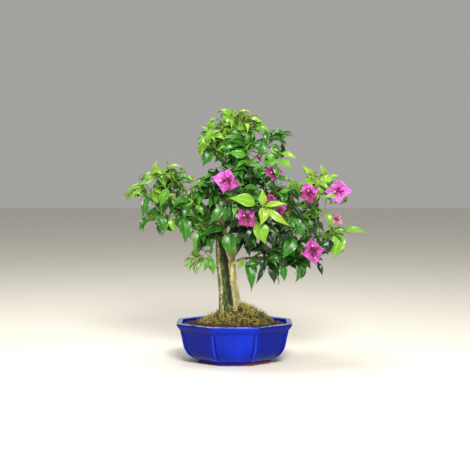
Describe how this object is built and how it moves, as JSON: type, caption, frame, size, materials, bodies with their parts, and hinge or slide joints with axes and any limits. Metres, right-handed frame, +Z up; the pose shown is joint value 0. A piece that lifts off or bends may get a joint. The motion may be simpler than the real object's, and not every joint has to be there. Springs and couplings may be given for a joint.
{
  "type": "bougainvillea bonsai",
  "caption": "Bonsai bougainvillea with a fluted leaning trunk, spreading boughs, separate masses of leaves and blossom, and a blue glazed octagonal pot.",
  "frame": {"origin": "middle of the pot's flat underside", "axes": "+Z up, -Y the front of the plant, +X to the right seen from the front"},
  "size_m": [0.4563, 0.2997, 0.4745],
  "materials": {
    "cobalt_glaze": "gloss",
    "soil": "matte",
    "moss": "matte",
    "bark": "matte",
    "leaf": "satin"
  },
  "bodies": {
    "root": {"apex_foliage": "leaf", "back_centre_bough": "bark", "back_centre_foliage": "leaf", "back_low_bough": "bark", "back_low_foliage": "leaf", "centre_front_bough": "bark", "centre_front_foliage": "leaf", "centre_left_bough": "bark", "centre_left_foliage": "leaf", "centre_low_bough": "bark", "centre_low_foliage": "leaf", "centre_right_bough": "bark", "centre_right_foliage": "leaf", "centre_upper_bough": "bark", "centre_upper_foliage": "leaf", "left_back_bough": "bark", "left_back_foliage": "leaf", "left_back_low_bough": "bark", "left_back_low_foliage": "leaf", "left_inner_bough": "bark", "left_inner_foliage": "leaf", "left_low_bough": "bark", "left_low_foliage": "leaf", "left_low_inner_bough": "bark", "left_low_inner_foliage": "leaf", "left_tip_bough": "bark", "left_tip_foliage": "leaf", "left_upper_bough": "bark", "left_upper_foliage": "leaf", "low_sprig_foliage": "leaf", "moss": "moss", "pot": "cobalt_glaze", "right_back_bough": "bark", "right_back_foliage": "leaf", "right_far_bough": "bark", "right_far_foliage": "leaf", "right_low_back_bough": "bark", "right_low_back_foliage": "leaf", "right_low_bough": "bark", "right_low_foliage": "leaf", "right_low_inner_bough": "bark", "right_low_inner_foliage": "leaf", "right_mid_bough": "bark", "right_mid_foliage": "leaf", "right_tip_bough": "bark", "right_tip_foliage": "leaf", "right_upper_bough": "bark", "right_upper_foliage": "leaf", "soil": "soil", "top_back_bough": "bark", "top_back_foliage": "leaf", "top_front_bough": "bark", "top_front_foliage": "leaf", "top_left_bough": "bark", "top_left_foliage": "leaf", "top_right_bough": "bark", "top_right_foliage": "leaf", "trunk": "bark"}
  },
  "joints": []
}
